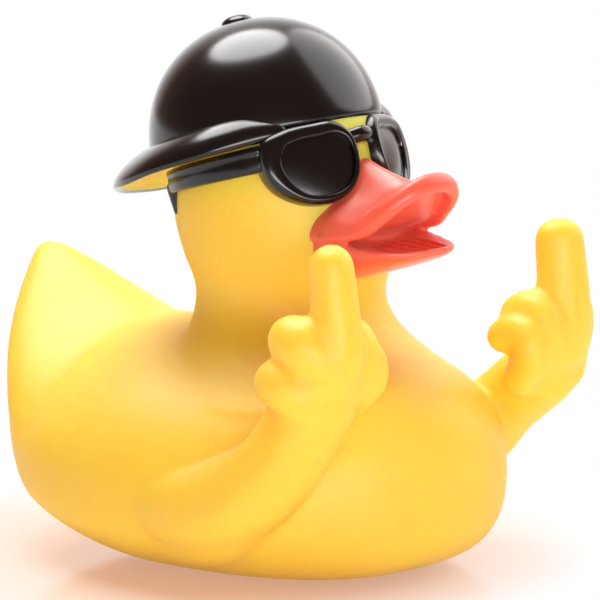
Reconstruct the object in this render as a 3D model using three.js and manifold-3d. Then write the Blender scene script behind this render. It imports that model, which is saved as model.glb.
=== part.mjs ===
// A hollow, one-piece moulded bath duck with a back-to-front cap, sunglasses and two raised hands.
// Millimetres and degrees. The duck faces -Y, +Z is up, and X = 0 is its mirror plane.
import * as THREE from "three";
import { mergeVertices } from "three/addons/utils/BufferGeometryUtils.js";
import Module from "manifold-3d";

// Shell
const WALL = 2.2;
const AIR_HOLE_RADIUS = 2;
const AIR_HOLE_FORWARD = 2;

// Body
const BODY_LENGTH = 87;
const BODY_WIDTH = 71;
const BODY_SET_BACK = 1.1;
const BODY_WAIST_HEIGHT = 15;
const DECK_HEIGHT = 36.5;
const KEEL_DEPTH = 0.5;
const TAIL_LIFT = 11.8;
const TAIL_SWELL = 6;
const TAIL_LEAN = 15.2;
const TAIL_NARROWING = 0.6;
const TAIL_NARROWED = 0.9;
const TAIL_START = 0.5;
const BODY_PLAN_POWER = 2;
const BREAST_POWER = 3.4;
const TAIL_POWER = 3.4;
const STERN_POWER = 1.46;
const BODY_BASE_FULLNESS = 0.75;

// Neck and head. The flare's rows give the share of it that is left at a height above the deck, and the head's
// profile gives how far out and how far up it is, as shares of the head's radius.
const NECK_ROOT_FORWARD = 9.4;
const NECK_ROOT_RADIUS = 26.5;
const NECK_ROOT_DEPTH = 8;
const NECK_FLARE = [
  [0.45, -3],
  [0.12, 1.5],
];
const NECK_FORWARD = 6.7;
const NECK_RADIUS = 15;
const NECK_HEIGHT = 43;
const HEAD_RADIUS = 17.7;
const HEAD_HEIGHT = 61;
const HEAD_FORWARD = 5.3;
const HEAD_PITCH = 16;
const HEAD_PROFILE = [
  [0.94, -0.68],
  [0.99, -0.42],
  [1, 0],
  [0.91, 0.42],
  [0.75, 0.66],
  [0.45, 0.89],
];

// Cap. Each row of the visor gives, from the back round to the front, how far its edge stands out from the cap,
// how high that edge is above the cap's rim, and how high the blade leaves the dome.
const CAP_RADIUS = 18.7;
const CAP_RIM_ABOVE_EYES = 6.2;
const CAP_SET_BACK = 2;
const CAP_DOME_HEIGHT = 19.1;
const CAP_BUTTON_RADIUS = 2.6;
const CAP_BUTTON_HEIGHT = 1.5;
const VISOR_WRAP = 140;
const VISOR_ROOT_DEPTH = 2.5;
const VISOR_THICKNESS = 1.8;
const VISOR_ARCH = 0.9;
const VISOR_EDGE_FULLNESS = 0.6;
const VISOR_FACE_FULLNESS = 0.8;
const VISOR_ROWS = [
  [8.4, -3.3, 2.0],
  [7.8, -3.1, 2.1],
  [6.8, -2.7, 2.3],
  [6.0, -2.8, 2.3],
  [5.0, -2.1, 2.8],
  [3.6, -1.4, 3.8],
  [1.4, -0.7, 3.8],
  [-0.7, 0.0, 1.4],
];

// Sunglasses. Outlines run outward and up from the middle of the left lens.
const LENS_SPACING = 18.6;
const LENS_FORWARD = 15;
const LENS_TURN = 26;
const LENS_TILT = 4;
const LENS_LEVEL = 0.2;
const RIM_PROUD = 0.8;
const RIM_BEVEL = 0.6;
const RIM_DEPTH = 7;
const LENS_OUTLINE = [
  [4.9, 1.0],
  [3.8, 3.3],
  [1.3, 4.0],
  [-2.0, 4.1],
  [-5.0, 4.1],
  [-6.6, 3.0],
  [-7.1, 0.3],
  [-6.4, -2.5],
  [-4.6, -4.5],
  [-1.5, -5.1],
  [1.8, -4.3],
  [4.1, -1.7],
];
const RIM_OUTLINE = [
  [7.8, 1.0],
  [6.7, 4.2],
  [3.3, 5.6],
  [-1.2, 6.1],
  [-5.2, 6.1],
  [-7.5, 4.0],
  [-8.1, 0.3],
  [-7.2, -3.2],
  [-4.7, -5.6],
  [-1.0, -6.4],
  [3.2, -5.4],
  [6.6, -2.6],
];
const TEMPLE_HEIGHT = 4.2;
const TEMPLE_RADIUS = 1.1;
const TEMPLE_PROUD = 1.3;
const TEMPLE_ABOVE_EYES = 2.4;
const TEMPLE_HINGE = 10.6;
const TEMPLE_BACK = 9.4;
const HOOK_START = 1;
const HOOK_DROP = 4.6;
const HOOK_BACK = 0.8;
const HOOK_WIDTH = 1.2;
const HOOK_TAPER = 0.5;
const BRIDGE_RADIUS = 1.1;
const BRIDGE_HALF = 3.2;
const BRIDGE_FORWARD = 18.6;
const BRIDGE_BOW = 1.2;
const BRIDGE_ABOVE_EYES = 3.3;

// Bill. Each row of the hump gives how far ahead of the head's middle it is, its underside's height, the swell over
// its whole width and the height of its middle ridge. Each row of the lip gives a point of its middle line, sideways,
// ahead and up, and half the lip's height there.
const BILL_ROOT = 8;
const BILL_HALF_WIDTH = 10.5;
const BILL_REACH = 29.6;
const BILL_ROUND_START = 17;
const BILL_ROUND_POWER = 2.3;
const BILL_RIDGE_WIDTH = 4;
const BILL_UNDERSIDE = 1.4;
const BILL_HUMP = [
  [8.0, -11.3, 6.3, 4.9],
  [14.0, -11.0, 6.0, 5.0],
  [17.6, -10.8, 4.5, 6.0],
  [20.0, -10.8, 3.2, 5.6],
  [22.7, -10.7, 2.0, 5.0],
  [26.0, -9.6, 0.9, 3.1],
  [28.0, -7.6, 0.4, 0.9],
  [29.6, -6.6, 0.2, 0.1],
];
const LIP_THICKNESS = 1.3;
const LIP_LEAN = 0.25;
const LIP_ROWS = [
  [10.3, 13.5, -11.2, 0.9],
  [10.1, 18.0, -11.4, 1.0],
  [9.2, 22.6, -11.8, 1.4],
  [7.6, 25.7, -11.0, 1.5],
  [6.0, 27.6, -9.7, 1.9],
  [4.0, 29.0, -8.6, 2.5],
  [2.0, 29.8, -8.1, 3.1],
  [0.0, 30.0, -8.0, 3.4],
];
const JAW_REACH = 30.4;
const JAW_HALF_WIDTH = 9.6;
const JAW_ROOT_TOP = -11.2;
const JAW_TIP_TOP = -16.3;
const JAW_FLOOR = -18.4;
const JAW_DROP_START = 0.2;
const JAW_DISH = 1.2;
const JAW_DISH_START = 0.3;
const JAW_DISH_END = 0.8;
const JAW_SIDE_FULLNESS = 0.8;
const JAW_FLOOR_FULLNESS = 0.7;
const THROAT_REACH = 17;
const THROAT_HEIGHT = -11.8;
const THROAT_RADIUS = 3.5;
const THROAT_WIDTH = 2.3;

// Arms and hands. Joints run outward, ahead and up from the middle of the palm.
const HAND_SPREAD = 26;
const HAND_FORWARD = 38.5;
const RIGHT_HAND_HEIGHT = 35.6;
const LEFT_HAND_HEIGHT = 33.6;
const PALM_MIDDLE = [-0.6, 0.3, -0.6];
const PALM_HALF_WIDTH = 7.4;
const PALM_HALF_DEPTH = 4.8;
const PALM_HALF_HEIGHT = 6.4;
const PALM_FULLNESS = 0.85;
const PALM_SLOPE = 0.55;
const FINGER_RADIUS = 3.45;
const FINGER_WIDTH = 1.13;
const FINGER_JOINTS = [
  [0.1, 0.2, -2],
  [0.2, 2.4, 4.5],
  [0.4, 2.2, 9],
  [0.5, 1.8, 13],
  [0.5, 1.2, 18],
];
const FINGER_SWELL = [1, 1.12, 1.1, 1.05, 1];
const INDEX_RADIUS = 3.4;
const INDEX_JOINTS = [
  [2.8, -0.2, -2],
  [4.2, 1.6, 3.8],
  [4.5, -0.8, 6.8],
  [4.7, -4.2, 6.8],
];
const THUMB_RADIUS = 3.3;
const THUMB_JOINTS = [
  [3.4, -3.2, -4.6],
  [5.3, -1.8, -0.7],
  [6.3, -6, 0.1],
];
const RING_RADIUS = 3;
const RING_JOINTS = [
  [-3.6, -0.6, -3],
  [-4.3, 2.7, 2.4],
  [-4.3, 2, 6.2],
  [-4.3, -1, 7.3],
  [-4.3, -3, 6.2],
];
const PINKY_RADIUS = 2.8;
const PINKY_JOINTS = [
  [-5.5, -1.6, -4],
  [-7, 2.2, 0.2],
  [-7.1, 1.5, 3.4],
  [-7.1, -1.4, 4],
  [-7.1, -3.6, 2.9],
];
const WRIST = [0.4, -2.2, -3.6];
const SHOULDER_INSET = 11.5;
const SHOULDER_BACK = 17;
const SHOULDER_HEIGHT = 14;
const ELBOW_INSET = 5.5;
const ELBOW_FORWARD = 4;
const ELBOW_HEIGHT = 12.5;
const LEFT_FOREARM = [
  [29.2, -18.5, 16.4],
  [27.2, -28.2, 23.8],
];
const RIGHT_FOREARM = [
  [30.3, -20, 15],
  [28.6, -30.5, 22],
];
const LEFT_ARM_RADII = [4, 6, 6, 5.8, 5.8];
const RIGHT_ARM_RADII = [4, 6.3, 6.4, 6.3, 6.2];

// Facet counts
const BODY_SIDES = 32;
const BODY_STEPS = 20;
const HEAD_SIDES = 26;
const HEAD_STEPS = 18;
const INSIDE_COARSENESS = 0.5;
const DOME_STEPS = 9;
const BUTTON_SIDES = 12;
const BUTTON_STEPS = 8;
const VISOR_SIDES = 10;
const VISOR_STEPS = 24;
const OUTLINE_STEPS = 26;
const RIM_BEVEL_STEPS = 2;
const TEMPLE_POINTS = 6;
const HUMP_SIDES = 22;
const HUMP_STEPS = 12;
const LIP_SIDES = 8;
const LIP_STEPS = 22;
const JAW_SIDES = 16;
const JAW_STEPS = 9;
const PALM_SIDES = 14;
const PALM_STEPS = 10;
const LIMB_SIDES = 10;
const LIMB_STEPS = 6;
const ARM_SIDES = 14;
const ARM_STEPS = 11;
const BAR_SIDES = 8;
const LIMB_CAP_STEPS = 3;
const HOLE_SIDES = 20;

const wasm = await Module();
wasm.setup();
const { Manifold, Mesh } = wasm;
const UP = new THREE.Vector3(0, 0, 1);
const SIDEWAYS = new THREE.Vector3(1, 0, 0);
const FINGER_ACROSS = new THREE.Vector3(0.68, -0.73, 0);
const radians = THREE.MathUtils.degToRad;
const lerp = THREE.MathUtils.lerp;
const smooth = THREE.MathUtils.smoothstep;
const clamp = THREE.MathUtils.clamp;
const vec = (x, y, z) => new THREE.Vector3(x, y, z);

// Raises a signed number to a power and keeps its sign: below 1 makes a circle squarer.
const fuller = (value, power) => (Math.abs(value) < 1e-9 ? 0 : Math.sign(value) * Math.abs(value) ** power);

// Half of a rounded bar's thickness at a share of its half-length: power 2 is an ellipse, more is squarer.
const roundedEnd = (share, power) => Math.max(0, 1 - Math.abs(share) ** power) ** (1 / power);

// A smooth path through points, and a smooth run of numbers with the first at share 0 and the last at share 1.
const pathThrough = (points) => new THREE.CatmullRomCurve3(points, false, "centripetal");
function runThrough(values) {
  const curve = pathThrough(values.map((value, i) => vec(i, value, 0)));
  return (share) => curve.getPoint(clamp(share, 0, 1)).y;
}

// A solid for joining and cutting, from a closed geometry.
function solidOf(geometry) {
  const bare = new THREE.BufferGeometry().setAttribute("position", geometry.getAttribute("position").clone());
  bare.setIndex(geometry.index ? geometry.index.clone() : null);
  const merged = mergeVertices(bare, 1e-4);
  const corners = merged.index.array;
  const kept = [];
  for (let i = 0; i < corners.length; i += 3) {
    const [a, b, c] = corners.slice(i, i + 3);
    if (a !== b && b !== c && c !== a) kept.push(a, b, c);
  }
  return new Manifold(
    new Mesh({ numProp: 3, vertProperties: merged.attributes.position.array, triVerts: new Uint32Array(kept) }),
  );
}

const joined = (solids) => solids.reduce((sum, next) => sum.add(next));

// The same geometry on the other side of the mirror plane, with its faces still pointing out.
function mirrored(geometry) {
  const copy = (geometry.index ? geometry.toNonIndexed() : geometry.clone()).scale(-1, 1, 1);
  const position = copy.getAttribute("position");
  for (let i = 0; i < position.count; i += 3) {
    const second = new THREE.Vector3().fromBufferAttribute(position, i + 1);
    const third = new THREE.Vector3().fromBufferAttribute(position, i + 2);
    position.setXYZ(i + 1, third.x, third.y, third.z);
    position.setXYZ(i + 2, second.x, second.y, second.z);
  }
  return copy;
}

const bothSides = (geometry) => [solidOf(geometry), solidOf(mirrored(geometry))];

const middleOf = (points) => points.reduce((sum, point) => sum.add(point), vec(0, 0, 0)).divideScalar(points.length);

// A closed skin over rings of points, each counter-clockwise about the direction of travel.
function loft(rings, startPole = middleOf(rings[0]), endPole = middleOf(rings.at(-1))) {
  const sides = rings[0].length;
  const points = [...rings.flat(), startPole, endPole];
  const first = points.length - 2;
  const last = points.length - 1;
  const top = (rings.length - 1) * sides;
  const faces = [];
  for (let side = 0; side < sides; side++) {
    const next = (side + 1) % sides;
    faces.push(first, next, side, last, top + side, top + next);
    for (let base = 0; base < top; base += sides) {
      const [a, b, c, d] = [base + side, base + next, base + sides + side, base + sides + next];
      faces.push(a, b, d, a, d, c);
    }
  }
  return new THREE.BufferGeometry().setFromPoints(points).setIndex(faces);
}

// The points of a ring, from a rule that gives a point for an angle.
const ringOf = (sides, pointAt) => Array.from({ length: sides }, (_, side) => pointAt((2 * Math.PI * side) / sides));

// A round-ended limb along a smooth path: radii are given at the path's points, and flat widens it along `across`.
function limb(points, radii, { across = UP, flat = 1, sides = LIMB_SIDES, steps = LIMB_STEPS } = {}) {
  const path = pathThrough(points);
  const size = runThrough(radii);
  const station = (share, overhang, girth) => {
    const heading = path.getTangent(share);
    const radius = size(share);
    const centre = path.getPoint(share).addScaledVector(heading, overhang * radius);
    const wide = across.clone().addScaledVector(heading, -across.dot(heading)).normalize();
    const thin = new THREE.Vector3().crossVectors(heading, wide);
    return ringOf(sides, (angle) =>
      centre
        .clone()
        .addScaledVector(wide, flat * radius * girth * Math.cos(angle))
        .addScaledVector(thin, radius * girth * Math.sin(angle)),
    );
  };
  const rings = [];
  for (let i = 1; i < LIMB_CAP_STEPS; i++) {
    const angle = (Math.PI / 2) * (i / LIMB_CAP_STEPS);
    rings.push(station(0, -Math.cos(angle), Math.sin(angle)));
  }
  for (let i = 0; i <= steps; i++) rings.push(station(i / steps, 0, 1));
  for (let i = LIMB_CAP_STEPS - 1; i > 0; i--) {
    const angle = (Math.PI / 2) * (i / LIMB_CAP_STEPS);
    rings.push(station(1, Math.cos(angle), Math.sin(angle)));
  }
  return loft(rings, middleOf(station(0, -1, 0)), middleOf(station(1, 1, 0)));
}

// The bowl-shaped body: a ball with its poles at breast and tail, filled out, lifted and narrowed towards the tail.
function bodyGeometry(inset) {
  const detail = inset > 0 ? INSIDE_COARSENESS : 1;
  const ball = new THREE.SphereGeometry(1, Math.round(BODY_SIDES * detail), Math.round(BODY_STEPS * detail));
  const position = ball.getAttribute("position");
  const point = new THREE.Vector3();
  for (let i = 0; i < position.count; i++) {
    point.fromBufferAttribute(position, i);
    const girth = Math.hypot(point.x, point.z) || 1;
    const [across, rise] = [point.x / girth, point.z / girth];
    const upper = rise > 0;
    const lift = Math.max(0, rise);
    const tail = smooth(point.y, TAIL_START, 1);
    const power = upper ? 1 : BODY_BASE_FULLNESS;
    const height = upper ? DECK_HEIGHT - BODY_WAIST_HEIGHT + TAIL_SWELL * tail : BODY_WAIST_HEIGHT + KEEL_DEPTH;
    const narrowing = 1 - TAIL_NARROWING * smooth(point.y, 0, TAIL_NARROWED) * lift ** 2;
    const wide = roundedEnd(point.y, BODY_PLAN_POWER) * narrowing;
    const backPower = upper ? TAIL_POWER : STERN_POWER;
    const tall = roundedEnd(point.y, point.y > 0 ? backPower : BREAST_POWER);
    position.setXYZ(
      i,
      (BODY_WIDTH / 2 - inset) * wide * fuller(across, power),
      BODY_SET_BACK + (BODY_LENGTH / 2 - inset) * point.y + TAIL_LEAN * tail * tall * lift,
      BODY_WAIST_HEIGHT + TAIL_LIFT * tail + (height - inset) * tall * fuller(rise, power),
    );
  }
  return ball;
}

// Neck and head, turned as one profile and leaned back so that the ball of the head sits over the neck's front.
function neckAndHeadGeometry(inset) {
  const detail = inset > 0 ? INSIDE_COARSENESS : 1;
  const root = DECK_HEIGHT - NECK_ROOT_DEPTH;
  const neckRows = [
    [NECK_ROOT_RADIUS, root],
    ...NECK_FLARE.map(([left, up]) => [lerp(NECK_RADIUS, NECK_ROOT_RADIUS, left), DECK_HEIGHT + up]),
    [NECK_RADIUS, NECK_HEIGHT],
  ];
  const headRows = HEAD_PROFILE.map(([out, up]) => [HEAD_RADIUS * out, HEAD_HEIGHT + HEAD_RADIUS * up]);
  const outline = new THREE.SplineCurve([
    ...[...neckRows, ...headRows].map(([out, up]) => new THREE.Vector2(out - inset, up)),
    new THREE.Vector2(0, HEAD_HEIGHT + HEAD_RADIUS - inset),
  ]);
  const profile = [new THREE.Vector2(0, root), ...outline.getPoints(Math.round(HEAD_STEPS * detail))];
  profile.at(-1).x = 0;
  const geometry = new THREE.LatheGeometry(profile, Math.round(HEAD_SIDES * detail)).rotateX(Math.PI / 2);
  const position = geometry.getAttribute("position");
  for (let i = 0; i < position.count; i++) {
    const up = position.getZ(i);
    const neck = lerp(NECK_ROOT_FORWARD, NECK_FORWARD, smooth(up, root, NECK_HEIGHT));
    position.setY(i, position.getY(i) - lerp(neck, HEAD_FORWARD, smooth(up, NECK_HEIGHT, HEAD_HEIGHT)));
  }
  return geometry;
}

// A point in the head's own pitched frame: sideways, forward and up from the middle of the head.
function onHead(sideways, forward, up) {
  const [c, s] = [Math.cos(radians(HEAD_PITCH)), Math.sin(radians(HEAD_PITCH))];
  return vec(sideways, -HEAD_FORWARD - forward * c + up * s, HEAD_HEIGHT + forward * s + up * c);
}

// A direction in the head's frame.
const headWay = (sideways, forward, up) => onHead(sideways, forward, up).sub(onHead(0, 0, 0));

// Moves a geometry drawn in the head's frame, X sideways, Y backward and Z up, onto the head.
function placeOnHead(geometry) {
  return geometry.rotateX(radians(-HEAD_PITCH)).translate(0, -HEAD_FORWARD, HEAD_HEIGHT);
}

// Moves a geometry drawn about the middle of the cap's rim onto the head.
const placeCap = (geometry) => placeOnHead(geometry.translate(0, CAP_SET_BACK, CAP_RIM_ABOVE_EYES));

// The dome of the cap, widest at its rim.
function capDome() {
  const profile = [new THREE.Vector2(0, 0)];
  for (let step = 0; step <= DOME_STEPS; step++) {
    const angle = (Math.PI / 2) * (step / DOME_STEPS);
    profile.push(new THREE.Vector2(CAP_RADIUS * Math.cos(angle), CAP_DOME_HEIGHT * Math.sin(angle)));
  }
  profile.at(-1).x = 0;
  return placeCap(new THREE.LatheGeometry(profile, HEAD_SIDES).rotateX(Math.PI / 2));
}

function capButton() {
  const button = new THREE.SphereGeometry(1, BUTTON_SIDES, BUTTON_STEPS).rotateX(Math.PI / 2);
  button.scale(CAP_BUTTON_RADIUS, CAP_BUTTON_RADIUS, CAP_BUTTON_HEIGHT);
  return placeCap(button.translate(0, 0, CAP_DOME_HEIGHT));
}

// The visor, wrapped round the back of the cap: an arched blade that runs out into the dome at both ends.
function visor() {
  const [reachAt, edgeAt, riseAt] = [0, 1, 2].map((column) => runThrough(VISOR_ROWS.map((row) => row[column])));
  const rings = [];
  for (let step = 0; step <= VISOR_STEPS; step++) {
    const share = lerp(-1, 1, step / VISOR_STEPS);
    const way = vec(Math.sin(share * radians(VISOR_WRAP)), Math.cos(share * radians(VISOR_WRAP)), 0);
    const inner = new THREE.Vector2(CAP_RADIUS - VISOR_ROOT_DEPTH, riseAt(Math.abs(share)));
    const outer = new THREE.Vector2(CAP_RADIUS + reachAt(Math.abs(share)), edgeAt(Math.abs(share)));
    const along = outer.clone().sub(inner).multiplyScalar(0.5);
    const middle = inner.clone().add(outer).multiplyScalar(0.5);
    const normal = new THREE.Vector2(-along.y, along.x).normalize().multiplyScalar(VISOR_THICKNESS / 2);
    rings.push(
      ringOf(VISOR_SIDES, (turn) => {
        const outward = fuller(Math.cos(turn), VISOR_EDGE_FULLNESS);
        const arch = VISOR_ARCH * (1 - outward ** 2);
        const upward = fuller(Math.sin(turn), VISOR_FACE_FULLNESS) + arch;
        const at = middle.clone().addScaledVector(along, outward).addScaledVector(normal, upward);
        return way.clone().multiplyScalar(at.x).setZ(at.y);
      }),
    );
  }
  return placeCap(loft(rings));
}

// A flat shape with a smooth outline through given points.
function outlineShape(points) {
  const curve = new THREE.CatmullRomCurve3(points.map(([x, y]) => vec(x, y, 0)), true, "centripetal");
  return new THREE.Shape(curve.getPoints(OUTLINE_STEPS).slice(0, -1).map(({ x, y }) => new THREE.Vector2(x, y)));
}

// Moves a plate drawn flat, facing +Z, onto the face at the left lens.
function placeLens(geometry, depth) {
  return placeOnHead(
    geometry
      .translate(0, 0, depth)
      .rotateX(radians(90 - LENS_TILT))
      .rotateZ(radians(LENS_TURN))
      .translate(LENS_SPACING / 2, -LENS_FORWARD, 0),
  );
}

function lensRim() {
  const rim = new THREE.ExtrudeGeometry(outlineShape(RIM_OUTLINE), {
    depth: RIM_DEPTH - RIM_BEVEL,
    bevelEnabled: true,
    bevelThickness: RIM_BEVEL,
    bevelSize: RIM_BEVEL,
    bevelOffset: -RIM_BEVEL,
    bevelSegments: RIM_BEVEL_STEPS,
    steps: 1,
  });
  return placeLens(rim, RIM_PROUD - RIM_DEPTH);
}

function lensRecess() {
  const pocket = new THREE.ExtrudeGeometry(outlineShape(LENS_OUTLINE), { depth: RIM_DEPTH, bevelEnabled: false });
  return placeLens(pocket, LENS_LEVEL);
}

// A temple bar that hugs the side of the head from the lens to behind the ear, and the hook at its end.
function temple() {
  const stand = HEAD_RADIUS + TEMPLE_PROUD - TEMPLE_RADIUS;
  const onSide = (forward, up) => onHead(Math.sqrt(Math.max(1, stand ** 2 - forward ** 2)), forward, up);
  const bar = Array.from({ length: TEMPLE_POINTS }, (_, i) =>
    onSide(lerp(TEMPLE_HINGE, -TEMPLE_BACK, i / (TEMPLE_POINTS - 1)), TEMPLE_ABOVE_EYES),
  );
  const hook = [
    onSide(-TEMPLE_BACK, TEMPLE_ABOVE_EYES - HOOK_START),
    onSide(-TEMPLE_BACK - HOOK_BACK, TEMPLE_ABOVE_EYES - HOOK_DROP),
  ];
  const flat = TEMPLE_HEIGHT / 2 / TEMPLE_RADIUS;
  return [
    limb(bar, bar.map(() => TEMPLE_RADIUS), { across: headWay(0, 0, 1), flat, sides: BAR_SIDES, steps: BAR_SIDES }),
    limb(hook, [TEMPLE_RADIUS, TEMPLE_RADIUS * HOOK_TAPER], {
      across: headWay(0, -1, 0),
      flat: HOOK_WIDTH,
      sides: BAR_SIDES,
      steps: 1,
    }),
  ];
}

function bridge() {
  const points = [-1, 0, 1].map((side) =>
    onHead(side * BRIDGE_HALF, BRIDGE_FORWARD - BRIDGE_BOW * side ** 2, BRIDGE_ABOVE_EYES),
  );
  return limb(points, points.map(() => BRIDGE_RADIUS), { sides: BAR_SIDES, steps: BAR_SIDES });
}

// Half of the bill's width seen from above, with a round front.
function billPlan(forward, reach, halfWidth) {
  const share = clamp((forward - BILL_ROUND_START) / (reach - BILL_ROUND_START), 0, 1);
  return halfWidth * Math.sqrt(1 - share ** BILL_ROUND_POWER);
}

// The upper bill: a hump with a middle ridge that sinks from the brow to a broad tip.
function upperBill() {
  const [aheadAt, baseAt, swellAt, ridgeAt] = [0, 1, 2, 3].map((column) =>
    runThrough(BILL_HUMP.map((row) => row[column])),
  );
  const rings = [];
  for (let step = 0; step < HUMP_STEPS; step++) {
    const share = step / HUMP_STEPS;
    const half = billPlan(aheadAt(share), BILL_REACH, BILL_HALF_WIDTH);
    rings.push(
      ringOf(HUMP_SIDES, (angle) => {
        const [across, rise] = [Math.cos(angle), Math.sin(angle)];
        const ridge = ridgeAt(share) * Math.exp(-((half * across / BILL_RIDGE_WIDTH) ** 2));
        const top = swellAt(share) * rise + ridge;
        const below = BILL_UNDERSIDE * rise + ridge * (1 + rise);
        return onHead(half * across, aheadAt(share), baseAt(share) + (rise >= 0 ? top : below));
      }),
    );
  }
  return loft(rings, middleOf(rings[0]), onHead(0, BILL_REACH, baseAt(1)));
}

// The rolled lip round the edge of the upper bill, tallest at the upturned tip.
function billLip() {
  const rows = [...LIP_ROWS, ...LIP_ROWS.slice(0, -1).reverse().map(([x, ...rest]) => [-x, ...rest])];
  const path = pathThrough(rows.map(([sideways, forward, up]) => onHead(sideways, forward, up)));
  const tallAt = runThrough(rows.map((row) => row[3]));
  const upward = headWay(0, -LIP_LEAN, 1);
  const rings = [];
  for (let step = 0; step <= LIP_STEPS; step++) {
    const share = step / LIP_STEPS;
    const heading = path.getTangent(share);
    const rise = upward.clone().addScaledVector(heading, -upward.dot(heading)).normalize();
    const inward = new THREE.Vector3().crossVectors(heading, rise);
    rings.push(
      ringOf(LIP_SIDES, (angle) =>
        path
          .getPoint(share)
          .addScaledVector(rise, tallAt(share) * Math.cos(angle))
          .addScaledVector(inward, LIP_THICKNESS * Math.sin(angle)),
      ),
    );
  }
  return loft(rings);
}

// The lower bill, a shallow scoop that drops open from the corners of the mouth.
function lowerBill() {
  const rings = [];
  for (let step = 0; step < JAW_STEPS; step++) {
    const share = Math.sin((Math.PI / 2) * (step / JAW_STEPS));
    const forward = lerp(BILL_ROOT, JAW_REACH, share);
    const half = billPlan(forward, JAW_REACH, JAW_HALF_WIDTH);
    const full = half / JAW_HALF_WIDTH;
    const top = lerp(JAW_ROOT_TOP, JAW_TIP_TOP, smooth(share, JAW_DROP_START, 1));
    const depth = (top - JAW_FLOOR) * Math.sqrt(full);
    rings.push(
      ringOf(JAW_SIDES, (angle) => {
        const across = fuller(Math.cos(angle), JAW_SIDE_FULLNESS);
        const dish = -JAW_DISH * smooth(share, JAW_DISH_START, JAW_DISH_END) * (1 - across ** 2) * full;
        const rise = angle <= Math.PI ? dish : -depth * Math.abs(Math.sin(angle)) ** JAW_FLOOR_FULLNESS;
        return onHead(half * across, forward, top + rise);
      }),
    );
  }
  return loft(rings, middleOf(rings[0]), onHead(0, JAW_REACH, JAW_TIP_TOP));
}

// The back of the open mouth, between the two halves of the bill.
function throat() {
  const points = [onHead(0, BILL_ROOT + THROAT_RADIUS, THROAT_HEIGHT), onHead(0, THROAT_REACH, THROAT_HEIGHT)];
  return limb(points, points.map(() => THROAT_RADIUS), { across: SIDEWAYS, flat: THROAT_WIDTH, steps: 1 });
}

// A point beside a left palm at a given height: outward, ahead and up from its middle.
const byPalm = (height, [outward, ahead, up]) => vec(HAND_SPREAD + outward, -HAND_FORWARD - ahead, height + up);

// The palm and back of the hand: a rounded block whose lower half leans back into the wrist.
function palm(height) {
  const ball = new THREE.SphereGeometry(1, PALM_SIDES, PALM_STEPS).rotateX(Math.PI / 2);
  const position = ball.getAttribute("position");
  const middle = byPalm(height, PALM_MIDDLE);
  for (let i = 0; i < position.count; i++) {
    const up = PALM_HALF_HEIGHT * fuller(position.getZ(i), PALM_FULLNESS);
    position.setXYZ(
      i,
      middle.x + PALM_HALF_WIDTH * fuller(position.getX(i), PALM_FULLNESS),
      middle.y + PALM_HALF_DEPTH * fuller(position.getY(i), PALM_FULLNESS) - PALM_SLOPE * Math.min(0, up),
      middle.z + up,
    );
  }
  return ball;
}

// A finger or thumb through its joints.
function digit(height, joints, radius) {
  return limb(joints.map((joint) => byPalm(height, joint)), joints.map(() => radius), { across: FINGER_ACROSS });
}

function raisedFinger(height) {
  const points = FINGER_JOINTS.map((joint) => byPalm(height, joint));
  const radii = FINGER_SWELL.map((swell) => swell * FINGER_RADIUS);
  return limb(points, radii, { across: FINGER_ACROSS, flat: FINGER_WIDTH });
}

// The arm, out of the flank at a low elbow and up through the wrist into the palm.
function arm(height, forearm, radii) {
  const points = [
    vec(BODY_WIDTH / 2 - SHOULDER_INSET, SHOULDER_BACK, SHOULDER_HEIGHT),
    vec(BODY_WIDTH / 2 - ELBOW_INSET, -ELBOW_FORWARD, ELBOW_HEIGHT),
    ...forearm.map((joint) => vec(...joint)),
    byPalm(height, WRIST),
  ];
  return limb(points, radii, { sides: ARM_SIDES, steps: ARM_STEPS });
}

// An arm with its fist and raised middle finger, drawn on the left.
function hand(height, forearm, radii) {
  return [
    arm(height, forearm, radii),
    palm(height),
    raisedFinger(height),
    digit(height, INDEX_JOINTS, INDEX_RADIUS),
    digit(height, THUMB_JOINTS, THUMB_RADIUS),
    digit(height, RING_JOINTS, RING_RADIUS),
    digit(height, PINKY_JOINTS, PINKY_RADIUS),
  ];
}

// A half space as a big block, to keep what lies above a level.
function above(level) {
  const size = 4 * BODY_LENGTH;
  return solidOf(new THREE.BoxGeometry(size, size, size).translate(0, 0, level + size / 2));
}

function airHole() {
  const hole = new THREE.CylinderGeometry(AIR_HOLE_RADIUS, AIR_HOLE_RADIUS, 4 * WALL, HOLE_SIDES);
  return solidOf(hole.rotateX(Math.PI / 2).translate(0, -AIR_HOLE_FORWARD, 0));
}

function duckSolid() {
  const bill = [upperBill(), billLip(), lowerBill(), throat()].map(solidOf);
  const cap = [capDome(), capButton(), visor()].map(solidOf);
  const glasses = [solidOf(bridge()), ...bothSides(lensRim()), ...temple().flatMap(bothSides)];
  const limbs = [
    ...hand(LEFT_HAND_HEIGHT, LEFT_FOREARM, LEFT_ARM_RADII),
    ...hand(RIGHT_HAND_HEIGHT, RIGHT_FOREARM, RIGHT_ARM_RADII).map(mirrored),
  ].map(solidOf);
  const skin = joined([solidOf(bodyGeometry(0)), solidOf(neckAndHeadGeometry(0)), ...limbs]).intersect(above(0));
  const dressed = joined([skin, ...cap, ...glasses]).subtract(joined(bothSides(lensRecess())));
  const hollow = solidOf(bodyGeometry(WALL)).add(solidOf(neckAndHeadGeometry(WALL))).intersect(above(WALL));
  return joined([dressed, ...bill]).subtract(hollow).subtract(airHole());
}

function geometryOf(solid) {
  const { numProp, vertProperties, triVerts } = solid.getMesh();
  const geometry = new THREE.BufferGeometry();
  geometry.setAttribute("position", new THREE.BufferAttribute(vertProperties, numProp));
  geometry.setIndex(new THREE.BufferAttribute(triVerts, 1));
  geometry.computeVertexNormals();
  return geometry;
}

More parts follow.
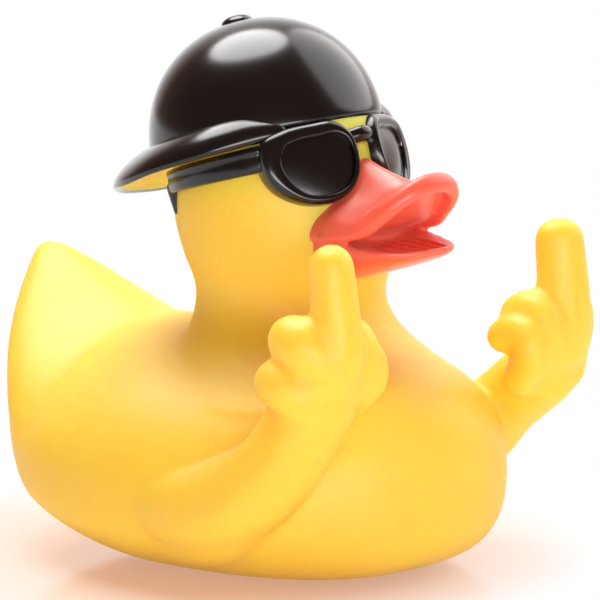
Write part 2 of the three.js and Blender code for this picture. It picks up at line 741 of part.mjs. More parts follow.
const vinyl = new THREE.MeshStandardMaterial({ color: 0xffd21f, roughness: 0.42, metalness: 0 });
const duck = new THREE.Mesh(geometryOf(duckSolid()), vinyl);
duck.name = "duck";

// The origin is the middle of the duck's box, at the floor.
const box = new THREE.Box3().setFromObject(duck);
const middle = box.getCenter(new THREE.Vector3());
duck.position.set(-middle.x, -middle.y, -box.min.z);

const part = new THREE.Group();
part.name = "rubber_duck";
part.add(duck);

export default part;
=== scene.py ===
"""The looks of a hollow moulded bath duck with a back-to-front cap, sunglasses and two raised hands.

Forms are drawn in millimetres with the duck facing -Y and its mirror plane at X = 0, and are turned into
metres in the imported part's frame when a piece is finished.
"""

import logging
import math
from collections.abc import Callable, Sequence
from dataclasses import dataclass, field
from enum import Enum

import bmesh
import bpy
from bmesh.types import BMesh
from bpy.types import Material, Node, NodeSocket, NodeTree, Object
from mathutils import Matrix, Vector


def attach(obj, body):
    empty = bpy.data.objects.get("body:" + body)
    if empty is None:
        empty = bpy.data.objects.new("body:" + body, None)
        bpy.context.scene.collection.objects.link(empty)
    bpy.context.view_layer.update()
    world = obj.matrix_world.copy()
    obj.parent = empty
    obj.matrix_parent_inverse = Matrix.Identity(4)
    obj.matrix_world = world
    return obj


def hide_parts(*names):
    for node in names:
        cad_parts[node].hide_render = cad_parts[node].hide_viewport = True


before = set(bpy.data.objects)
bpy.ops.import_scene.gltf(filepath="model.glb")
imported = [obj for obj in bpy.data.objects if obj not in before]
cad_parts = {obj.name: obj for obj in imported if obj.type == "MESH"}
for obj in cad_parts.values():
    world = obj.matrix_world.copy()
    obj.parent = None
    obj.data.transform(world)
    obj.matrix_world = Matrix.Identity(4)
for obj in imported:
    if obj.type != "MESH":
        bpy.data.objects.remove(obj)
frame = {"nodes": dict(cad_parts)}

LOG = logging.getLogger("duck")
METRES = 0.001
FRAME_SHIFT = Vector((0.412, -2.965, 0.0))
ROOT_BODY = "root"
CAD_NODE = "duck"
SEAM = 0.002
UP = Vector((0.0, 0.0, 1.0))
SIDEWAYS = Vector((1.0, 0.0, 0.0))

Surface = Callable[[float, float], Vector]
Colour = tuple[float, float, float, float]
Joint = tuple[float, float, float]


class Slot(Enum):
    """The record's material slots."""

    YELLOW_VINYL = "yellow_vinyl"
    BLACK_PAINT = "black_paint"
    RED_PAINT = "red_paint"


class Side(Enum):
    """The duck's own left and right, as the sign of X."""

    LEFT = 1
    RIGHT = -1


def blend(start: float, end: float, share: float) -> float:
    """Return the value that lies a share of the way from start to end."""
    return start + (end - start) * share


def ease(value: float, low: float, high: float) -> float:
    """Return 0 below low, 1 above high and a smooth rise between them."""
    share = min(max((value - low) / (high - low), 0.0), 1.0)
    return share * share * (3.0 - 2.0 * share)


def fuller(value: float, power: float) -> float:
    """Return a signed power of a number, where a power below 1 makes a circle squarer."""
    return math.copysign(abs(value) ** power, value)


def rounded_end(share: float, power: float) -> float:
    """Return the half thickness of a bar at a share of its half length, where 2 is an ellipse."""
    return max(0.0, 1.0 - abs(share) ** power) ** (1.0 / power)


@dataclass(frozen=True)
class SmoothPath:
    """A smooth path through given points."""

    points: tuple[Vector, ...]

    def at(self, share: float) -> Vector:
        """Find a point of the path.

        Args:
            share: How far along the path, from 0 to 1, with the given points evenly spread.

        Returns:
            The point there.
        """
        last = len(self.points) - 1
        place = min(max(share, 0.0), 1.0) * last
        index = min(int(place), last - 1)
        local = place - index
        here, there = self.points[index], self.points[index + 1]
        before = self.points[index - 1] if index > 0 else here * 2.0 - there
        after = self.points[index + 2] if index + 2 <= last else there * 2.0 - here
        step_in = math.sqrt((here - before).length)
        step = math.sqrt((there - here).length)
        step_out = math.sqrt((after - there).length)
        leave = (here - before) / step_in - (there - before) / (step_in + step) + (there - here) / step
        arrive = (there - here) / step - (after - here) / (step + step_out) + (after - there) / step_out
        square, cube = local**2, local**3
        return (
            here * (2.0 * cube - 3.0 * square + 1.0)
            + leave * (step * (cube - 2.0 * square + local))
            + there * (3.0 * square - 2.0 * cube)
            + arrive * (step * (cube - square))
        )

    def heading(self, share: float) -> Vector:
        """Return the direction of travel at a share of the path."""
        reach = 0.002
        return (self.at(min(share + reach, 1.0)) - self.at(max(share - reach, 0.0))).normalized()


@dataclass(frozen=True)
class Limb:
    """A round-ended limb along a smooth path, with a radius at each of the path's points."""

    points: tuple[Vector, ...]
    radii: tuple[float, ...]
    across: Vector = field(default_factory=lambda: UP.copy())
    flat: float = 1.0
    around: int = 28
    along: int = 48
    end_share: float = 0.14

    def build(self) -> BMesh:
        """Return the limb as a closed mesh."""
        path = SmoothPath(self.points)
        sizes = SmoothPath(tuple(Vector((index, radius, 0.0)) for index, radius in enumerate(self.radii)))

        def surface(turn: float, travel: float) -> Vector:
            """Return the limb's skin at a turn about its path and a share of its length."""
            start = min(travel / self.end_share, 1.0)
            end = min((1.0 - travel) / self.end_share, 1.0)
            share = min(max((travel - self.end_share) / (1.0 - 2.0 * self.end_share), 0.0), 1.0)
            heading = path.heading(share)
            radius = sizes.at(share).y
            overhang = math.cos(end * math.pi / 2) - math.cos(start * math.pi / 2)
            girth = math.sin(min(start, end) * math.pi / 2)
            wide = (self.across - heading * self.across.dot(heading)).normalized()
            thin = heading.cross(wide)
            angle = turn * math.tau
            spread = wide * (self.flat * math.cos(angle)) + thin * math.sin(angle)
            return path.at(share) + heading * (overhang * radius) + spread * (radius * girth)

        return wrapped_grid(surface, self.around, self.along)


def wrapped_grid(surface: Surface, around: int, along: int) -> BMesh:
    """Bend a flat grid round into a closed skin.

    Args:
        surface: Gives a point for a turn from 0 to 1 and a travel from 0 to 1.
        around: Facets round the skin.
        along: Facets from its first end to its last one.

    Returns:
        The skin, with its seam and poles merged, its open ends filled and its faces pointing out.
    """
    form = bmesh.new()
    bmesh.ops.create_grid(form, x_segments=around, y_segments=along, size=0.5)
    for vert in form.verts:
        vert.co = surface(vert.co.x + 0.5, vert.co.y + 0.5)
    bmesh.ops.remove_doubles(form, verts=form.verts, dist=SEAM)
    bmesh.ops.holes_fill(form, edges=[edge for edge in form.edges if edge.is_boundary])
    bmesh.ops.recalc_face_normals(form, faces=form.faces)
    return form


def turned(profile: Sequence[tuple[float, float]], steps: int) -> BMesh:
    """Spin a profile about the Z axis.

    Args:
        profile: Radius and height of each point, from one end of the axis to the other.
        steps: Facets round the axis.

    Returns:
        The turned form, with its poles merged and its faces pointing out.
    """
    form = bmesh.new()
    verts = [form.verts.new((radius, 0.0, height)) for radius, height in profile]
    edges = [form.edges.new(pair) for pair in zip(verts, verts[1:])]
    geometry = [*verts, *edges]
    bmesh.ops.spin(form, geom=geometry, axis=UP, cent=(0, 0, 0), angle=math.tau, steps=steps, use_merge=True)
    bmesh.ops.remove_doubles(form, verts=form.verts, dist=SEAM)
    bmesh.ops.recalc_face_normals(form, faces=form.faces)
    return form


def mirrored(form: BMesh, side: Side) -> BMesh:
    """Flip a form drawn on the duck's left to the asked side.

    Args:
        form: The form on the left, changed in place.
        side: Where it goes.

    Returns:
        The same form, with its faces pointing out.
    """
    if side is Side.RIGHT:
        bmesh.ops.scale(form, vec=(-1.0, 1.0, 1.0), verts=form.verts)
        bmesh.ops.reverse_faces(form, faces=form.faces)
    return form


def gathered(forms: Sequence[BMesh]) -> BMesh:
    """Put several forms into one mesh without joining their skins.

    Args:
        forms: The forms, which are used up.

    Returns:
        One mesh that holds them all.
    """
    whole = bmesh.new()
    for form in forms:
        draft = bpy.data.meshes.new("draft")
        form.to_mesh(draft)
        form.free()
        whole.from_mesh(draft)
        bpy.data.meshes.remove(draft)
    return whole


def modified(form: BMesh, kind: str, **settings: str | float | Object) -> BMesh:
    """Run one modifier on a form.

    Args:
        form: The form, used up.
        kind: The modifier's type.
        settings: The modifier's settings by name.

    Returns:
        The form that the modifier makes.
    """
    rough = bpy.data.meshes.new("draft")
    form.to_mesh(rough)
    form.free()
    draft = bpy.data.objects.new("draft", rough)
    bpy.context.scene.collection.objects.link(draft)
    modifier = draft.modifiers.new("draft", kind)
    for name, value in settings.items():
        setattr(modifier, name, value)
    made = bpy.data.meshes.new_from_object(draft.evaluated_get(bpy.context.evaluated_depsgraph_get()))
    bpy.data.objects.remove(draft)
    bpy.data.meshes.remove(rough)
    result = bmesh.new()
    result.from_mesh(made)
    bpy.data.meshes.remove(made)
    return result


def moulded(form: BMesh, voxel: float, passes: int) -> BMesh:
    """Fuse overlapping forms into one skin and soften the creases between them.

    Args:
        form: The overlapping forms, used up.
        voxel: Size of the even facets, in millimetres.
        passes: How often the skin is smoothed.

    Returns:
        The fused skin.
    """
    skin = modified(form, "REMESH", mode="VOXEL", voxel_size=voxel)
    for _ in range(passes):
        bmesh.ops.smooth_vert(skin, verts=skin.verts, factor=0.5, use_axis_x=True, use_axis_y=True, use_axis_z=True)
    return skin


def finished_piece(form: BMesh, name: str, material: Material, slot: Slot) -> Object:
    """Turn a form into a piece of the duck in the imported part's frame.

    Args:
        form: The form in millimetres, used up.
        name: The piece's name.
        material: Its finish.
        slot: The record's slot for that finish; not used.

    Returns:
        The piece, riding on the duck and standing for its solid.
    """
    bmesh.ops.translate(form, vec=FRAME_SHIFT, verts=form.verts)
    bmesh.ops.scale(form, vec=(METRES, METRES, METRES), verts=form.verts)
    for face in form.faces:
        face.smooth = True
    mesh = bpy.data.meshes.new(name)
    form.to_mesh(mesh)
    form.free()
    mesh.materials.append(material)
    piece = bpy.data.objects.new(name, mesh)
    bpy.context.scene.collection.objects.link(piece)
    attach(piece, ROOT_BODY)
    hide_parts(CAD_NODE)
    LOG.info("%s: %d faces", name, len(mesh.polygons))
    return piece


@dataclass
class HeadFrame:
    """The pitched frame of the head, which carries the cap, the sunglasses and the bill."""

    forward: float = 5.3
    height: float = 61.0
    pitch: float = 16.0

    def point(self, sideways: float, ahead: float, up: float) -> Vector:
        """Return a point given sideways, ahead and up from the middle of the head."""
        cosine, sine = math.cos(math.radians(self.pitch)), math.sin(math.radians(self.pitch))
        return Vector(
            (
                sideways,
                -self.forward - ahead * cosine + up * sine,
                self.height + ahead * sine + up * cosine,
            )
        )

    def local(self, point: Vector) -> Vector:
        """Return a point of the duck in the frame that place() draws in."""
        cosine, sine = math.cos(math.radians(self.pitch)), math.sin(math.radians(self.pitch))
        back, rise = point.y + self.forward, point.z - self.height
        return Vector((point.x, back * cosine - rise * sine, back * sine + rise * cosine))

    def place(self, form: BMesh) -> BMesh:
        """Return a form drawn with X sideways, Y backward and Z up, moved onto the head."""
        for vert in form.verts:
            vert.co = self.point(vert.co.x, -vert.co.y, vert.co.z)
        return form


@dataclass
class Body:
    """The bowl-shaped body with its lifted tail."""

    length: float = 87.0
    width: float = 71.0
    set_back: float = 1.1
    waist: float = 15.0
    deck: float = 36.5
    keel: float = 0.5
    tail_lift: float = 11.8
    tail_swell: float = 6.0
    tail_lean: float = 15.2
    tail_narrowing: float = 0.6
    plan_power: float = 2.0
    breast_power: float = 3.4
    tail_power: float = 3.4
    stern_power: float = 1.46
    base_fullness: float = 0.75
    def surface(self, turn: float, travel: float) -> Vector:
        """Find a point of the body's skin.

        Args:
            turn: Share of the way round a section, from the left side up and over.
            travel: Share of the way from breast to tail.

        Returns:
            The point there.
        """
        along = -math.cos(travel * math.pi)
        across, rise = math.cos(turn * math.tau), math.sin(turn * math.tau)
        lift = max(0.0, rise)
        tail = ease(along, 0.5, 1.0)
        upper = rise > 0.0
        power = 1.0 if upper else self.base_fullness
        height = self.deck - self.waist + self.tail_swell * tail if upper else self.waist + self.keel
        narrowing = 1.0 - self.tail_narrowing * ease(along, 0.0, 0.9) * lift**2
        wide = rounded_end(along, self.plan_power) * narrowing
        back_power = self.tail_power if upper else self.stern_power
        tall = rounded_end(along, back_power if along > 0.0 else self.breast_power)
        return Vector(
            (
                self.width / 2 * wide * fuller(across, power),
                self.set_back + self.length / 2 * along + self.tail_lean * tail * tall * lift,
                self.waist + self.tail_lift * tail + height * tall * fuller(rise, power),
            )
        )

    def build(self) -> BMesh:
        """Return the body, cut flat at the floor."""
        form = wrapped_grid(self.surface, 128, 112)
        geometry = [*form.verts, *form.edges, *form.faces]
        bmesh.ops.bisect_plane(form, geom=geometry, plane_co=(0, 0, 0), plane_no=(0, 0, -1), clear_outer=True)
        rim = [edge for edge in form.edges if edge.is_boundary]
        bmesh.ops.contextual_create(form, geom=rim)
        return form


@dataclass
class NeckAndHead:
    """The neck, flared into the deck, and the ball of the head."""

    frame: HeadFrame
    deck: float = 36.5
    root_forward: float = 9.4
    neck_forward: float = 6.7
    root_radius: float = 26.5
    root_depth: float = 8.0
    neck_radius: float = 15.0
    neck_height: float = 43.0
    head_radius: float = 17.7
    steps: int = 80

    def build(self) -> BMesh:
        """Return neck and head as one turned form, leaned so that the head sits over the neck."""
        root = self.deck - self.root_depth
        radius, middle = self.head_radius, self.frame.height
        rows = (
            (self.root_radius, root),
            (blend(self.neck_radius, self.root_radius, 0.45), self.deck - 3.0),
            (blend(self.neck_radius, self.root_radius, 0.12), self.deck + 1.5),
            (self.neck_radius, self.neck_height),
            (radius * 0.94, middle - radius * 0.68),
            (radius * 0.99, middle - radius * 0.42),
            (radius, middle),
            (radius * 0.91, middle + radius * 0.42),
            (radius * 0.75, middle + radius * 0.66),
            (radius * 0.45, middle + radius * 0.89),
            (0.0, middle + radius),
        )
        outline = SmoothPath(tuple(Vector((out, up, 0.0)) for out, up in rows))
        points = [outline.at(step / self.steps) for step in range(self.steps + 1)]
        form = turned([(0.0, root), *((point.x, point.y) for point in points)], 96)
        for vert in form.verts:
            up = vert.co.z
            neck = blend(self.root_forward, self.neck_forward, ease(up, root, self.neck_height))
            vert.co.y -= blend(neck, self.frame.forward, ease(up, self.neck_height, middle))
        return form


@dataclass
class Hand:
    """A fist with its middle finger raised, and the arm that carries it."""

    side: Side
    height: float
    forearm: tuple[Vector, ...]
    forearm_radii: tuple[float, ...]
    spread: float = 26.0
    forward: float = 38.5
    palm_middle: Joint = (-0.6, 0.3, -0.6)
    palm_size: Vector = field(default_factory=lambda: Vector((7.4, 4.8, 6.4)))
    palm_fullness: float = 0.85
    palm_slope: float = 0.55
    wrist: Joint = (0.4, -2.2, -3.6)
    finger_radius: float = 3.45
    finger_width: float = 1.13
    finger_swell: tuple[float, ...] = (1.0, 1.12, 1.1, 1.05, 1.0)
    finger: tuple[Joint, ...] = ((0.1, 0.2, -2.0), (0.2, 2.4, 4.5), (0.4, 2.2, 9.0), (0.5, 1.8, 13.0), (0.5, 1.2, 18.0))
    index_radius: float = 4.0
    index: tuple[Joint, ...] = ((1.5, 2.0, 2.2), (3.7, 0.7, 4.7), (4.7, -0.8, 6.5), (4.4, -2.8, 6.9))
    thumb_radius: float = 3.7
    thumb: tuple[Joint, ...] = ((3.2, -0.2, -3.2), (5.3, -1.4, -1.3), (6.1, -2.8, 0.0), (5.9, -4.6, 0.5))
    ring_radius: float = 3.0
    ring: tuple[Joint, ...] = ((-3.6, -0.6, -3.0), (-4.3, 2.7, 2.4), (-4.3, 2.0, 6.2), (-4.3, -1.0, 7.3), (-4.3, -3.0, 6.2))
    pinky_radius: float = 2.8
    pinky: tuple[Joint, ...] = ((-5.5, -1.6, -4.0), (-7.0, 2.2, 0.2), (-7.1, 1.5, 3.4), (-7.1, -1.4, 4.0), (-7.1, -3.6, 2.9))
    wide_way: Vector = field(default_factory=lambda: Vector((0.68, -0.73, 0.0)))
    web_shift: Vector = field(default_factory=lambda: Vector((-2.6, 0.0, -3.4)))
    web_shares: tuple[float, ...] = (1.0, 1.0, 0.7, 0.0)
    web_radii: tuple[float, ...] = (5.0, 7.2, 6.3, 3.0)

    def by_palm(self, outward: float, ahead: float, up: float) -> Vector:
        """Return a point given outward, ahead and up from the middle of the palm."""
        return Vector((self.spread + outward, -self.forward - ahead, self.height + up))

    def palm(self) -> BMesh:
        """Return the palm and back of the hand, a rounded block whose lower half leans back into the wrist."""
        form = bmesh.new()
        bmesh.ops.create_uvsphere(form, u_segments=48, v_segments=32, radius=1.0)
        middle = self.by_palm(*self.palm_middle)
        for vert in form.verts:
            corner = Vector([fuller(value, self.palm_fullness) for value in vert.co]) * self.palm_size
            corner.y -= self.palm_slope * min(0.0, corner.z)
            vert.co = middle + corner
        return form

    def digit(self, radius: float, joints: tuple[Joint, ...]) -> BMesh:
        """Make a finger or thumb.

        Args:
            radius: Its radius.
            joints: Its joints, outward, ahead and up from the middle of the palm.

        Returns:
            The finger or thumb.
        """
        points = tuple(self.by_palm(*joint) for joint in joints)
        return Limb(points, (radius,) * len(points), self.wide_way).build()

    def raised_finger(self) -> BMesh:
        """Return the raised middle finger, a little wider than it is thick."""
        points = tuple(self.by_palm(*joint) for joint in self.finger)
        radii = tuple(self.finger_radius * swell for swell in self.finger_swell)
        return Limb(points, radii, self.wide_way, self.finger_width).build()

    def arm(self) -> BMesh:
        """Return the arm, out of the flank at a low elbow and up through the wrist."""
        points = (*self.forearm, self.by_palm(*self.wrist))
        return Limb(points, self.forearm_radii, along=80, around=40).build()

    def web(self) -> BMesh:
        """Return the skin that fills the hollow under the arm and carries it smoothly into the flank."""
        places = zip(self.forearm, self.web_shares)
        points = tuple(point + self.web_shift * share for point, share in places)
        return Limb(points, self.web_radii, along=80, around=40).build()

    def build(self) -> BMesh:
        """Return arm, palm, thumb and fingers on the hand's own side."""
        forms = [
            self.arm(),
            self.web(),
            self.palm(),
            self.raised_finger(),
            self.digit(self.index_radius, self.index),
            self.digit(self.thumb_radius, self.thumb),
            self.digit(self.ring_radius, self.ring),
            self.digit(self.pinky_radius, self.pinky),
        ]
        return mirrored(gathered(forms), self.side)


@dataclass
class Skin:
    """The yellow skin: body, neck, head, arms and hands in one moulding."""

    head: HeadFrame
    glasses: "Sunglasses"
    voxel: float = 0.58
    passes: int = 6
    air_hole_radius: float = 2.0
    air_hole_forward: float = 2.0
    air_hole_depth: float = 5.0

    def pierced(self, skin: BMesh) -> BMesh:
        """Return the skin with the air hole cut up into its base."""
        drill = bmesh.new()
        radius, depth = self.air_hole_radius, self.air_hole_depth
        place = Matrix.Translation((0.0, -self.air_hole_forward, 0.0))
        bmesh.ops.create_cone(
            drill, cap_ends=True, segments=48, radius1=radius, radius2=radius, depth=2.0 * depth, matrix=place
        )
        mesh = bpy.data.meshes.new("drill")
        drill.to_mesh(mesh)
        drill.free()
        tool = bpy.data.objects.new("drill", mesh)
        bpy.context.scene.collection.objects.link(tool)
        cut = modified(skin, "BOOLEAN", operation="DIFFERENCE", solver="EXACT", object=tool)
        bpy.data.objects.remove(tool)
        bpy.data.meshes.remove(mesh)
        return cut

    def build(self, vinyl: Material) -> Object:
        """Return the fused yellow skin as a piece."""
        shoulder = (Vector((23.0, 17.0, 13.4)), Vector((27.4, -4.0, 13.6)))
        left_arm = (*shoulder, Vector((28.6, -18.5, 16.2)), Vector((27.2, -28.2, 23.8)))
        right_arm = (*shoulder, Vector((29.6, -20.0, 14.8)), Vector((28.6, -30.5, 22.0)))
        hands = (
            Hand(Side.LEFT, 33.6, left_arm, (5.0, 7.0, 6.5, 5.8, 5.8)),
            Hand(Side.RIGHT, 35.6, right_arm, (5.0, 7.2, 6.9, 6.4, 6.2)),
        )
        forms = [Body().build(), NeckAndHead(self.head).build(), *(hand.build() for hand in hands)]
        skin = self.glasses.pressed(self.pierced(moulded(gathered(forms), self.voxel, self.passes)))
        return finished_piece(skin, "yellow_skin", vinyl, Slot.YELLOW_VINYL)


@dataclass
class Cap:
    """The cap, worn back to front: a dome, a button and a visor with a bare underside."""

    head: HeadFrame
    radius: float = 18.7
    rim_above_eyes: float = 6.2
    set_back: float = 2.0
    dome_height: float = 19.3
    dome_fullness: float = 0.94
    button_radius: float = 2.6
    button_height: float = 1.4
    button_back: float = 1.4
    visor_wrap: float = 143.5
    visor_thickness: float = 1.8
    visor_arch: float = 0.9
    visor_rows: tuple[tuple[float, float, float], ...] = (
        (8.4, -3.3, 2.0),
        (7.8, -3.1, 2.1),
        (6.8, -2.7, 2.3),
        (6.0, -2.8, 2.3),
        (5.0, -2.2, 2.5),
        (3.7, -1.8, 3.0),
        (1.8, -1.4, 3.0),
        (-0.3, -1.2, 0.2),
    )

    def place(self, form: BMesh) -> BMesh:
        """Return a form drawn about the middle of the cap's rim, moved onto the head."""
        bmesh.ops.translate(form, vec=(0.0, self.set_back, self.rim_above_eyes), verts=form.verts)
        return self.head.place(form)

    def dome(self) -> BMesh:
        """Return the dome, with a rolled edge at its rim."""
        steps = 40
        edge = 0.45
        profile = [(0.0, 0.0), (self.radius - edge, 0.0), (self.radius - edge * 0.3, edge * 0.3)]
        for step in range(1, steps + 1):
            angle = math.pi / 2 * step / steps
            out, up = fuller(math.cos(angle), self.dome_fullness), fuller(math.sin(angle), self.dome_fullness)
            profile.append((self.radius * out, self.dome_height * up))
        profile[-1] = (0.0, self.dome_height)
        return self.place(turned(profile, 96))

    def button(self) -> BMesh:
        """Return the button on top of the dome."""
        steps = 16
        profile = []
        for step in range(steps + 1):
            angle = math.pi / 2 * step / steps
            swell = fuller(math.cos(angle), 0.8)
            profile.append((self.button_radius * swell, self.dome_height - 0.3 + self.button_height * math.sin(angle)))
        profile[-1] = (0.0, profile[-1][1])
        foot = self.dome_height - 1.5
        form = turned([(0.0, foot), (self.button_radius, foot), *profile], 40)
        bmesh.ops.translate(form, vec=(0.0, self.button_back, 0.0), verts=form.verts)
        return self.place(form)

    def visor_section(self, turn: float, travel: float, inset: float, drop: float) -> Vector:
        """Find a point of the visor's skin.

        Args:
            turn: Share of the way round the blade's section.
            travel: Share of the way round the cap, from its right front to its left front.
            inset: How far the blade's edges are drawn in.
            drop: How far the whole blade is let down.

        Returns:
            The point, about the middle of the cap's rim.
        """
        angle = blend(-1.0, 1.0, travel) * math.radians(self.visor_wrap)
        rows = SmoothPath(tuple(Vector(row) for row in self.visor_rows))
        reach, edge, rise = rows.at(abs(angle) / math.radians(self.visor_wrap))
        inner = Vector((self.radius - 2.5, rise))
        outer = Vector((self.radius + reach, edge))
        along = (outer - inner) / 2
        normal = Vector((-along.y, along.x)).normalized() * (self.visor_thickness / 2)
        cosine = fuller(math.cos(turn * math.tau), 0.6)
        sine = fuller(math.sin(turn * math.tau), 0.8)
        arch = self.visor_arch * (1.0 - cosine * cosine)
        shorter = along * (1.0 - inset / max(along.length, 1.0))
        at = (inner + outer) / 2 + shorter * cosine + normal * (sine + arch - drop)
        return Vector((math.sin(angle) * at.x, math.cos(angle) * at.x, at.y))

    def visor(self) -> BMesh:
        """Return the black blade of the visor."""
        return self.place(wrapped_grid(lambda turn, travel: self.visor_section(turn, travel, 0.0, 0.0), 32, 120))

    def visor_underside(self) -> BMesh:
        """Return the bare yellow underside of the visor, drawn in from the black edge."""
        return self.place(wrapped_grid(lambda turn, travel: self.visor_section(turn, travel, 0.9, 0.12), 32, 120))

    def build(self, paint: Material, vinyl: Material) -> list[Object]:
        """Return the cap's pieces."""
        return [
            finished_piece(self.dome(), "cap_dome", paint, Slot.BLACK_PAINT),
            finished_piece(self.button(), "cap_button", paint, Slot.BLACK_PAINT),
            finished_piece(self.visor(), "cap_visor", paint, Slot.BLACK_PAINT),
            finished_piece(self.visor_underside(), "cap_visor_underside", vinyl, Slot.YELLOW_VINYL),
        ]


@dataclass
class Sunglasses:
    """Sunglasses moulded in relief on the face: rims, lenses, a bridge and temples with hooked tips."""

    head: HeadFrame
    head_radius: float = 17.7
    lens_spacing: float = 18.6
    lens_forward: float = 15.0
    lens_turn: float = 26.0
    lens_tilt: float = 4.0
    lens_dome: float = 0.5
    rim_proud: float = 0.75
    press_depth: float = 0.7
    press_size: tuple[float, float] = (7.6, 5.9)
    temple_height: float = 4.2
    temple_radius: float = 1.1
    temple_proud: float = 1.3
    temple_above_eyes: float = 2.4
    temple_back: float = 9.4
    groove_depth: float = 0.2
    groove_place: float = 0.3
    bridge_radius: float = 1.1
    lens_points: tuple[tuple[float, float], ...] = (
        (4.9, 1.0),
        (3.8, 3.3),
        (1.3, 4.0),
        (-2.0, 4.1),
        (-5.0, 4.1),
        (-6.6, 3.0),
        (-7.1, 0.3),
        (-6.4, -2.5),
        (-4.6, -4.5),
        (-1.5, -5.1),
        (1.8, -4.3),
        (4.1, -1.7),
    )
    rim_points: tuple[tuple[float, float], ...] = (
        (7.8, 1.0),
        (6.9, 4.7),
        (3.4, 6.1),
        (-1.2, 6.4),
        (-5.2, 6.1),
        (-7.5, 4.0),
        (-8.1, 0.3),
        (-7.2, -3.2),
        (-4.7, -5.6),
        (-1.0, -6.4),
        (3.2, -5.4),
        (6.6, -2.6),
    )

    def outline(self, turn: float, margin: float) -> Vector:
        """Find a point of the frame.

        Args:
            turn: Share of the way round the lens, from its outer side up.
            margin: 0 at the lens's edge and 1 at the rim's outer edge.

        Returns:
            The point, outward and up from the lens's middle.
        """
        count = len(self.lens_points)
        place = (turn % 1.0) * count
        index = int(place)
        local = place - index
        corners = []
        for offset in (-1, 0, 1, 2):
            inner = Vector(self.lens_points[(index + offset) % count])
            outer = Vector(self.rim_points[(index + offset) % count])
            corners.append((inner + (outer - inner) * margin).to_3d())
        piece = SmoothPath(tuple(corners))
        return piece.at((1.0 + local) / 3.0).to_2d()

    def pose(self) -> Matrix:
        """Return the turn and shift of the left lens in the head's frame."""
        tilt = Matrix.Rotation(math.radians(90.0 - self.lens_tilt), 4, "X")
        turn = Matrix.Rotation(math.radians(self.lens_turn), 4, "Z")
        return Matrix.Translation((self.lens_spacing / 2, -self.lens_forward, 0.0)) @ turn @ tilt

    def place(self, form: BMesh, side: Side) -> BMesh:
        """Return a form drawn flat and facing +Z, moved onto one eye."""
        bmesh.ops.transform(form, matrix=self.pose(), verts=form.verts)
        return mirrored(self.head.place(form), side)

    def pressed(self, skin: BMesh) -> BMesh:
        """Return the skin with the face pushed in behind the lenses."""
        pose = self.pose()
        flatten = pose.inverted()
        wide, tall = self.press_size
        for vert in skin.verts:
            side = math.copysign(1.0, vert.co.x)
            local = flatten @ self.head.local(Vector((abs(vert.co.x), vert.co.y, vert.co.z)))
            if (local.x / wide) ** 2 + (local.y / tall) ** 2 < 1.0 and local.z > -self.press_depth:
                local.z = -self.press_depth
                seat = pose @ local
                vert.co = self.head.point(side * seat.x, -seat.y, seat.z)
        return skin

    def rim(self, side: Side) -> BMesh:
        """Return the raised band round one lens, flat in front with a sloping outer edge."""
        proud = self.rim_proud
        section = SmoothPath(
            (
                Vector((0.1, -1.5, 0.0)),
                Vector((0.02, -0.3, 0.0)),
                Vector((0.0, proud * 0.6, 0.0)),
                Vector((0.1, proud, 0.0)),
                Vector((0.35, proud * 1.08, 0.0)),
                Vector((0.6, proud, 0.0)),
                Vector((0.9, proud * 0.35, 0.0)),
                Vector((1.0, -proud * 0.4, 0.0)),
                Vector((1.0, -3.0, 0.0)),
                Vector((0.8, -6.0, 0.0)),
            )
        )

        def surface(turn: float, travel: float) -> Vector:
            """Return the band's skin at a turn round the lens and a share of its section."""
            margin, height, _ = section.at(travel)
            flat = self.outline(turn, margin)
            return Vector((flat.x, flat.y, height))

        return self.place(wrapped_grid(surface, 110, 48), side)

    def lens(self, side: Side) -> BMesh:
        """Return one domed lens with a wall that runs back into the face."""

        def surface(turn: float, travel: float) -> Vector:
            """Return the lens's skin at a turn round it and a share of the way to its back."""
            reach = min(travel / 0.8, 1.0)
            depth = max(travel - 0.8, 0.0) / 0.2
            flat = self.outline(turn, 0.06) * reach
            return Vector((flat.x, flat.y, self.lens_dome * (1.0 - reach**2) + 0.05 - 3.0 * depth))

        return self.place(wrapped_grid(surface, 110, 30), side)

    def temple(self, side: Side) -> BMesh:
        """Return one temple with its hooked tip."""
        stand = self.head_radius + self.temple_proud - self.temple_radius

        def on_side(ahead: float, up: float) -> Vector:
            """Return a point on the side of the head."""
            return self.head.point(math.sqrt(max(1.0, stand**2 - ahead**2)), ahead, up)

        shares = (0.0, 0.2, 0.4, 0.6, 0.8, 1.0)
        front = self.lens_forward - 4.4
        bar = tuple(on_side(blend(front, -self.temple_back, share), self.temple_above_eyes) for share in shares)
        hook = (
            on_side(-self.temple_back, self.temple_above_eyes - 1.0),
            on_side(-self.temple_back - 0.8, self.temple_above_eyes - 4.6),
        )
        upward = self.head.point(0.0, 0.0, 1.0) - self.head.point(0.0, 0.0, 0.0)
        backward = self.head.point(0.0, -1.0, 0.0) - self.head.point(0.0, 0.0, 0.0)
        radius = self.temple_radius
        path = SmoothPath(bar)

        def surface(turn: float, travel: float) -> Vector:
            """Return the bar's skin at a turn about it and a share of its length."""
            heading = path.heading(travel)
            outward = heading.cross(upward).normalized()
            closing = min(1.0, travel / 0.02, (1.0 - travel) / 0.02) ** 0.5
            high = fuller(math.sin(turn * math.tau), 0.45)
            thick = fuller(math.cos(turn * math.tau), 0.45)
            groove = self.groove_depth * math.exp(-(((high - self.groove_place) / 0.16) ** 2))
            half = blend(self.temple_height, self.temple_height * 0.88, travel) / 2
            thick = thick * radius - math.copysign(groove, thick)
            return path.at(travel) + (outward * thick + upward * (high * half)) * closing

        forms = [
            wrapped_grid(surface, 64, 64),
            Limb(hook, (radius, radius * 0.5), backward, 1.2).build(),
        ]
        return mirrored(gathered(forms), side)

